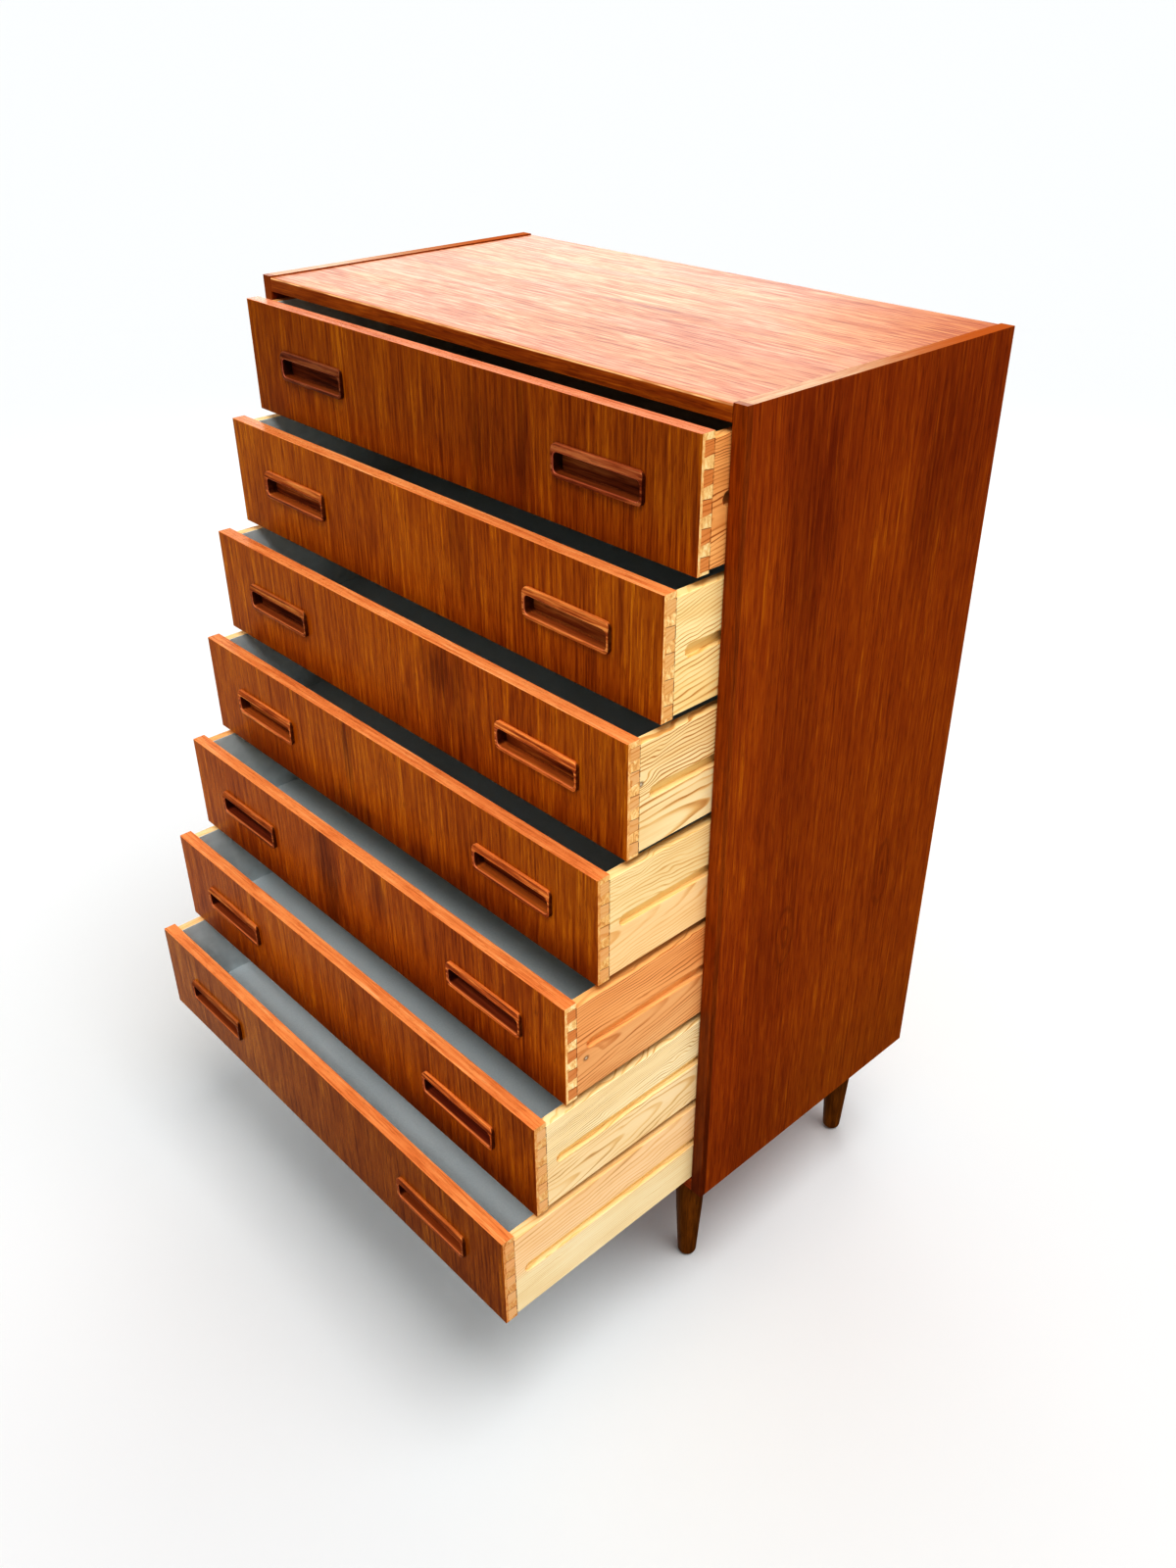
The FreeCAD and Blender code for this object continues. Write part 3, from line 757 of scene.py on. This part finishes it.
def pine_finish(name, number, node):
    """A drawer side: bare pine outside and on top, painted grey inside."""
    low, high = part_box(node)
    outer_x, inner_x = max(abs(low.x), abs(high.x)), min(abs(low.x), abs(high.x))
    groove_z = (low.z + high.z) / 2 - groove_drop
    orange = number in orange_sides
    finish, tree, spots = start_finish(name)
    late = pine_rings(tree, spots, (low + high) / 2, low, outer_x, pine_boards[number], number)
    kept = spread(tree, spots.z, groove_z + ring_seam[0], groove_z + ring_seam[1],
                  pine_washes[number][2], 1.0)
    late = times(tree, late, kept)
    colour, fibre = pine_colour(tree, spots, number, late, groove_z)
    lines, in_joint = dovetail_lines(tree, spots, low, high)
    handled = tone(206, 122, 58) if orange else tone(222, 148, 78)
    colour = blend(tree, times(tree, in_joint, 0.6), colour, handled)
    colour = blend(tree, times(tree, lines, 0.85), colour, joint_shadow)
    off_face = size_of(tree, spots.x)
    sunk = below(tree, off_face, outer_x - cut_face_depth)
    upright = above(tree, size_of(tree, spots.facing_x), 0.5, 0.2)
    upright = times(tree, upright, above(tree, off_face, inner_x + paint_depth))
    # Freshly cut wood in the groove, with painted light that makes the upright back wall lighter
    # than the ledge
    lit_back_wall = tone(250, 186, 112) if orange else tone(255, 222, 148)
    fresh_and_lit_wood = blend(tree, upright, fresh_cut, lit_back_wall)
    fresh_and_lit = times(tree, sunk, times_plus(tree, upright, 0.4, 0.35))
    colour = blend(tree, fresh_and_lit, colour, fresh_and_lit_wood)
    paint = noise(tree, spots.point, (60, 60, 60), 3.0)
    paint = tint(tree, spread(tree, paint, 0.0, 1.0), grey_tones)
    colour = blend(tree, below(tree, off_face, inner_x + paint_depth), colour, paint)
    set_surface(tree, colour, spread(tree, late, 0.0, 1.0, 0.62, 0.5), 0.2)
    raise_grain(tree, fibre, 0.1)
    return finish


def grey_finish():
    """The painted boards of the drawer bottoms and backs."""
    finish, tree, spots = start_finish("grey_paint")
    broad = noise(tree, spots.point, (5, 5, 5), 3.0)
    speck = noise(tree, spots.point, (420, 420, 420))
    light = times_plus(tree, speck, 0.4, times(tree, broad, 0.6))
    colour = tint(tree, spread(tree, light, 0.15, 0.85), grey_tones)
    set_surface(tree, colour, 0.5, 0.4)
    raise_grain(tree, speck, 0.05)
    return finish


def plain_wood_finish(name, along, tones, shift):
    """Wood that shows little: the back, the bottom, the runners and the dowels."""
    finish, tree, spots = start_finish(name)
    face = teak_figure(tree, spots, along, shift, 0.05)
    set_surface(tree, teak_colour(tree, face, tones, 0.25), 0.65, 0.3)
    open_pores(tree, face, 0.12)
    return finish


def steel_finish():
    """Zinc plated steel of the screws and bolts."""
    finish, tree, spots = start_finish("zinc_steel")
    haze = spread(tree, noise(tree, spots.point, (700, 700, 700), 3.0), 0.3, 0.7)
    set_shader(tree, "Metallic", 1)
    roughness = spread(tree, haze, 0.0, 1.0, 0.32, 0.5)
    set_surface(tree, tint(tree, haze, zinc_tones), roughness, 0.5)
    return finish


def put_on(finish, *nodes):
    """Give CAD nodes their finish."""
    for node in nodes:
        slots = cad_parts[node].material_slots
        for slot in slots:
            slot.material = finish
        if not slots:
            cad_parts[node].data.materials.append(finish)


def dress(piece, finish):
    """Give a new piece its finish."""
    piece.data.materials.clear()
    piece.data.materials.append(finish)


def edit(piece):
    """Open one piece alone for editing."""
    bpy.ops.object.select_all(action="DESELECT")
    bpy.context.view_layer.objects.active = piece
    piece.select_set(True)
    bpy.ops.object.mode_set(mode="EDIT")


def select_all():
    """Select everything of the piece that is open."""
    bpy.ops.mesh.select_all(action="SELECT")


def choose(piece, kind, test):
    """Select the vertices, edges or faces that pass a test."""
    bpy.ops.mesh.select_mode(type=kind)
    bpy.ops.mesh.select_all(action="DESELECT")
    mesh = bmesh.from_edit_mesh(piece.data)
    for part in {"VERT": mesh.verts, "EDGE": mesh.edges, "FACE": mesh.faces}[kind]:
        if test(part):
            part.select_set(True)
    mesh.select_flush_mode()
    bmesh.update_edit_mesh(piece.data)


def close_edit(piece):
    """Merge doubles, turn the faces outwards, leave edit mode and shade by angle."""
    bpy.ops.mesh.select_mode(type="VERT")
    select_all()
    bpy.ops.mesh.remove_doubles(threshold=touching)
    bpy.ops.mesh.normals_make_consistent(inside=False)
    bpy.ops.object.mode_set(mode="OBJECT")
    bpy.ops.object.shade_smooth_by_angle(angle=shade_angle)
    even = piece.modifiers.new("even_shading", "WEIGHTED_NORMAL")
    even.keep_sharp = True
    bpy.ops.object.modifier_apply(modifier=even.name)


def round_edges(piece, width, segments, test):
    """Round the edges that pass a test."""
    choose(piece, "EDGE", test)
    bpy.ops.mesh.bevel(offset=width, segments=segments, affect="EDGES", clamp_overlap=True)


def middle_of(edge):
    """An edge's midpoint."""
    return (edge.verts[0].co + edge.verts[1].co) / 2


def is_crosswise(edge, slack=touching):
    """Whether both ends of an edge lie at the same depth."""
    return abs(edge.verts[0].co.y - edge.verts[1].co.y) < slack


def rounded_plate(x0, x1, z0, z1, y, radius):
    """An upright rectangular face with rounded corners that faces the front."""
    bpy.ops.mesh.primitive_plane_add(size=1, location=((x0 + x1) / 2, y, (z0 + z1) / 2),
                                     rotation=(math.pi / 2, 0, 0))
    plate = bpy.context.object
    plate.scale = (x1 - x0, z1 - z0, 1)
    bpy.ops.object.transform_apply(location=True, rotation=True, scale=True)
    edit(plate)
    select_all()
    bpy.ops.mesh.bevel(offset=radius, offset_type="OFFSET", segments=6, affect="VERTICES")
    bpy.ops.object.mode_set(mode="OBJECT")
    return plate


def ring_between(outer, inner):
    """Two plates made into one piece, the flat ring between their outlines, open for editing."""
    bpy.ops.object.select_all(action="DESELECT")
    inner.select_set(True)
    outer.select_set(True)
    bpy.context.view_layer.objects.active = outer
    bpy.ops.object.join()
    edit(outer)
    bpy.ops.mesh.select_mode(type="FACE")
    select_all()
    bpy.ops.mesh.delete(type="ONLY_FACE")
    choose(outer, "EDGE", lambda edge: True)
    bpy.ops.mesh.bridge_edge_loops()
    return outer


def draw_back(distance):
    """Extrude the selected edges towards the rear."""
    bpy.ops.mesh.extrude_edges_move(TRANSFORM_OT_translate={"value": (0, distance, 0)})


def model_pull(node):
    """One recessed pull: a raised rounded rim round a coved finger recess, undercut above."""
    low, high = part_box(node)
    x0, x1, z0, z1, rim_y, back_y = high.x - pull_width, high.x, low.z, high.z, low.y, high.y
    in_x0, in_x1, in_z0, in_z1 = x0 + rim_side, x1 - rim_side, z0 + rim_bottom, z1 - rim_top
    pull = ring_between(rounded_plate(x0, x1, z0, z1, rim_y, pull_corner),
                        rounded_plate(in_x0, in_x1, in_z0, in_z1, rim_y, recess_corner))

    def in_opening(point):
        return (in_x0 - margin < point.x < in_x1 + margin
                and in_z0 - margin < point.z < in_z1 + margin)

    choose(pull, "EDGE", lambda edge: edge.is_boundary and in_opening(middle_of(edge)))
    draw_back(lip_depth)
    draw_back(recess_depth - lip_depth)
    bpy.ops.mesh.edge_face_add()
    choose(pull, "EDGE", lambda edge: edge.is_boundary and not in_opening(middle_of(edge)))
    draw_back(back_y - rim_y)
    bpy.ops.mesh.edge_face_add()
    select_all()
    bpy.ops.mesh.normals_make_consistent(inside=False)

    hollow_y = (rim_y + lip_depth + recess_depth + rim_y) / 2
    choose(pull, "FACE", lambda face: abs(face.calc_center_median().y - hollow_y) < mm
           and in_opening(face.calc_center_median()) and face.normal.z < -0.1)
    bpy.ops.mesh.extrude_region_move(TRANSFORM_OT_translate={"value": (0, 0, undercut)})
    floor_y = rim_y + recess_depth
    round_edges(pull, recess_cove, 4, lambda edge: abs(middle_of(edge).y - floor_y) < touching
                and edge.calc_face_angle(0) > 1.2 and is_crosswise(edge))
    round_edges(pull, lip_round, 3, lambda edge: abs(middle_of(edge).y - rim_y) < touching
                and in_opening(middle_of(edge)) and is_crosswise(edge))

    brow_z = in_z1 + lip_round
    choose(pull, "VERT", lambda vertex: abs(vertex.co.y - rim_y) < touching
           and vertex.co.z > brow_z + margin)
    bpy.ops.transform.rotate(value=brow_slope, orient_axis="X", orient_type="GLOBAL",
                             center_override=((x0 + x1) / 2, rim_y, brow_z))
    round_edges(pull, rim_round, 5, lambda edge: rim_y - touching < middle_of(edge).y < back_y - mm
                and edge.calc_face_angle(0) > 1.0 and not in_opening(middle_of(edge))
                and is_crosswise(edge, mm))
    close_edit(pull)
    mark_hollow(pull, in_opening, rim_y)
    return pull


def mark_hollow(pull, in_opening, rim_y):
    """Keep on each point of a pull how far it lies in the recess, from 0 to 1."""
    hollow = pull.data.attributes.new("hollow", "FLOAT", "POINT")
    for vertex, value in zip(pull.data.vertices, hollow.data):
        lower = Vector((vertex.co.x, vertex.co.y, vertex.co.z - undercut / 2))
        if in_opening(vertex.co) or in_opening(lower):
            value.value = min(1.0, (vertex.co.y - rim_y) / lip_depth)


# Painted light on each pull's rim as a factor, and painted shade in its recess, at the right and
# left
pull_painted_light = {
    1: ((0.68, 0.09), (0.42, 0.0)),
    2: ((0.94, 0.47), (0.87, 0.26)),
    3: ((1.15, 0.25), (0.72, 0.60)),
    4: ((1.15, 0.08), (1.00, 0.33)),
    5: ((1.16, 0.79), (0.84, 0.82)),
    6: ((1.12, 0.86), (0.86, 0.72)),
    7: ((0.82, 0.6), (0.62, 0.68)),
}


def shade_pull(piece, painted_rim_light, painted_recess_shade):
    """Keep the painted rim light and the painted recess shade on every point of a pull."""
    for name, shade in (("painted_rim_light", painted_rim_light), ("painted_recess_shade", painted_recess_shade)):
        layer = piece.data.attributes.new(name, "FLOAT", "POINT")
        for value in layer.data:
            value.value = shade


def place_pulls(finish):
    """The fourteen pulls, each in its drawer."""
    pattern = model_pull("drawer_1_pulls")
    dress(pattern, finish)
    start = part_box("drawer_1_pulls")[1]
    for number in drawers:
        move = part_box("drawer_%d_pulls" % number)[1] - start
        for side, shades in zip(("right", "left"), pull_painted_light[number]):
            piece = pattern.copy()
            piece.data = pattern.data.copy()
            scene.collection.objects.link(piece)
            piece.data.transform(Matrix.Translation(move))
            if side == "left":
                piece.data.transform(Matrix.Scale(-1, 4, (1, 0, 0)))
                piece.data.flip_normals()
            piece.name = "pull_%d_%s" % (number, side)
            shade_pull(piece, *shades)
            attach(piece, "drawer_%d" % number)
            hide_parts("drawer_%d_pulls" % number)
    bpy.data.objects.remove(pattern)


def model_leg(node):
    """A turned leg that tapers, with a slight swell, to a rounded foot."""
    low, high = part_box(node)
    centre, length, top_radius = (low + high) / 2, high.z - low.z, (high.x - low.x) / 2
    bpy.ops.mesh.primitive_cone_add(vertices=64, radius1=foot_radius, radius2=top_radius,
                                    depth=length, location=centre)
    leg = bpy.context.object
    bpy.ops.object.transform_apply(location=True, rotation=True, scale=True)
    edit(leg)
    for share in (0.3, 0.55, 0.8):
        select_all()
        cut = low.z + length * share
        bpy.ops.mesh.bisect(plane_co=(centre.x, centre.y, cut), plane_no=(0, 0, 1))
        radius = foot_radius + (top_radius - foot_radius) * share
        grow = 1 + leg_swell / radius * math.sin(math.pi * share)
        choose(leg, "VERT", lambda vertex: abs(vertex.co.z - cut) < touching)
        bpy.ops.transform.resize(value=(grow, grow, 1), center_override=(centre.x, centre.y, cut))
    round_edges(leg, foot_round, 6, lambda edge: abs(middle_of(edge).z - low.z) < touching)
    round_edges(leg, leg_top_arris, 2, lambda edge: abs(middle_of(edge).z - high.z) < touching)
    close_edit(leg)
    return leg


def place_legs(finish):
    """The four legs."""
    for place in leg_places:
        leg = model_leg("leg_" + place)
        leg.name = "turned_leg_" + place
        dress(leg, finish)
        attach(leg, "carcase")
        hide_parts("leg_" + place)


def finish_carcase(leg_stain):
    """Finishes of the nodes that stand still."""
    for side in ("right", "left"):
        put_on(side_finish("side_teak_" + side, "side_" + side), "side_" + side)
    put_on(lipping_finish("upright_lipping", "z", lipping_tones, 0.1, 0.46),
           "side_lipping_right", "side_lipping_left")
    put_on(top_finish(), "top_panel")
    put_on(lipping_finish("top_edge_lipping", "x", edge_dark_tones, 0.85), "top_lipping")
    put_on(lipping_finish("bottom_edge_lipping", "x", lipping_tones, 0.1), "bottom_lipping")
    put_on(plain_wood_finish("bottom_veneer", "x", side_tones, (0.4, 6.1, 0.2)), "bottom_panel")
    put_on(plain_wood_finish("back_ply", "z", ply_tones, (1.0, 0.5, 0.3)), "back_panel")
    put_on(plain_wood_finish("beech", "y", beech_tones, (0.2, 0.8, 0.5)),
           "carcase_dowels", "runners_right", "runners_left")
    put_on(steel_finish(), "leg_bolts", "runner_screws")
    put_on(leg_stain, *("leg_" + place for place in leg_places))


def finish_drawers(pull_teak):
    """Finishes of the drawers' nodes."""
    grey = grey_finish()
    for number in drawers:
        name = "drawer_%d_" % number
        put_on(front_finish(number), name + "front")
        for side in ("side_right", "side_left"):
            put_on(pine_finish("pine_%d_%s" % (number, side), number, name + side), name + side)
        put_on(grey, name + "back", name + "bottom")
        put_on(pull_teak, name + "pulls")


floor_size = 400
floor_tone = (0.872, 0.886, 0.89)


def build_floor():
    """A wide pale floor."""
    bpy.ops.mesh.primitive_plane_add(size=floor_size, location=(0, 0, 0))
    floor = bpy.context.object
    floor.name = "studio_floor"
    finish = bpy.data.materials.new("studio_white")
    finish.use_nodes = True
    set_surface(finish.node_tree, floor_tone, 0.9, 0)
    floor.data.materials.append(finish)
    floor.visible_glossy = False
    return floor


sky_strength = 0.40
backdrop_strength = 0.74
room_strength = 0.42


def paint_sky(tree):
    """A soft sky before a white backdrop, and below it a dim room that only the lacquer mirrors."""
    sky = tree.nodes["Background"]
    feed(tree, unchanged, sky.inputs[0])
    way = add_node(tree, "ShaderNodeSeparateXYZ")
    feed(tree, add_node(tree, "ShaderNodeTexCoord").outputs["Generated"], way.inputs[0])
    sideways, rearward, upward = way.outputs
    room = times(tree, spread(tree, sideways, -0.2, 0.0, room_strength, 0.0),
                 spread(tree, rearward, -0.58, -0.3), fade(tree, upward, -0.27, -0.2),
                 spread(tree, upward, -0.78, -0.6, 0.4, 1.0))
    lit = spread(tree, upward, -0.05, -0.03, room, sky_strength)
    seen = add_node(tree, "ShaderNodeLightPath").outputs["Is Camera Ray"]
    feed(tree, spread(tree, seen, 0.0, 1.0, lit, backdrop_strength), sky.inputs[1])


# Each sun: the way that its light travels, its strength and the width of its disc in degrees
overhead_sun = ((-0.28, -0.12, -1.0), 1.26, 42)
front_sun = ((-0.42, 0.52, -1.0), 1.15, 18)

# The panel that gives the top its sheen: its place, its aim, its size, its power and its spread
panel_place = (-3.2, 3.3, 2.2)
panel_aim = (0.0, 0.15, 1.18)
panel_width = 3.4
panel_height = 1.6
panel_power = 12
panel_spread = math.radians(110)


def hold(name, thing):
    """An object in the scene that holds a light or the camera."""
    holder = bpy.data.objects.new(name, thing)
    scene.collection.objects.link(holder)
    return holder


def aim(way):
    """The turn that points a light along a way."""
    return Vector(way).to_track_quat("-Z", "Y").to_euler()


def add_sun(name, travel, energy, disc):
    """A distant light with soft shadows."""
    sun = bpy.data.lights.new(name, "SUN")
    sun.energy = energy
    sun.angle = math.radians(disc)
    holder = hold(name, sun)
    holder.rotation_euler = aim(travel)
    return holder


def add_panel(name):
    """A soft rectangular light."""
    lamp = bpy.data.lights.new(name, "AREA")
    lamp.shape = "RECTANGLE"
    lamp.size = panel_width
    lamp.size_y = panel_height
    lamp.energy = panel_power
    lamp.spread = panel_spread
    holder = hold(name, lamp)
    holder.location = panel_place
    holder.rotation_euler = aim(Vector(panel_aim) - Vector(panel_place))
    holder.visible_camera = False


def light_studio(floor):
    """A white sky, soft light from above and from the front right, and the panel for the sheen."""
    world = bpy.data.worlds.new("studio")
    world.use_nodes = True
    paint_sky(world.node_tree)
    scene.world = world
    add_sun("overhead_sun", *overhead_sun)
    spared = bpy.data.collections.new("spared_by_front_sun")
    spared.objects.link(floor)
    spared.collection_objects[0].light_linking.link_state = "EXCLUDE"
    add_sun("front_sun", *front_sun).light_linking.receiver_collection = spared
    add_panel("sheen_panel")


# The photograph's camera: place in metres, turn about Z, tilt from straight down, roll and lens
camera_place = (1.1452, -0.9441, 1.5134)
camera_turn = math.radians(47.093)
camera_tilt = math.radians(57.991)
camera_roll = math.radians(-0.298)
camera_lens = 30.22
camera_reach = 600


def set_camera():
    """The camera at the photograph's viewing angle."""
    camera = bpy.data.cameras.new("camera")
    camera.sensor_width = 36
    camera.lens = camera_lens
    camera.clip_end = camera_reach
    holder = hold("camera", camera)
    holder.matrix_world = (Matrix.Translation(camera_place) @ Matrix.Rotation(camera_turn, 4, "Z")
                           @ Matrix.Rotation(camera_tilt, 4, "X")
                           @ Matrix.Rotation(camera_roll, 4, "Z"))
    scene.camera = holder


set_camera()
leg_stain = leg_finish()
pull_teak = pull_finish()
finish_carcase(leg_stain)
finish_drawers(pull_teak)
place_pulls(pull_teak)
place_legs(leg_stain)
light_studio(build_floor())
scene.view_settings.view_transform = "Standard"
scene.view_settings.look = "High Contrast"
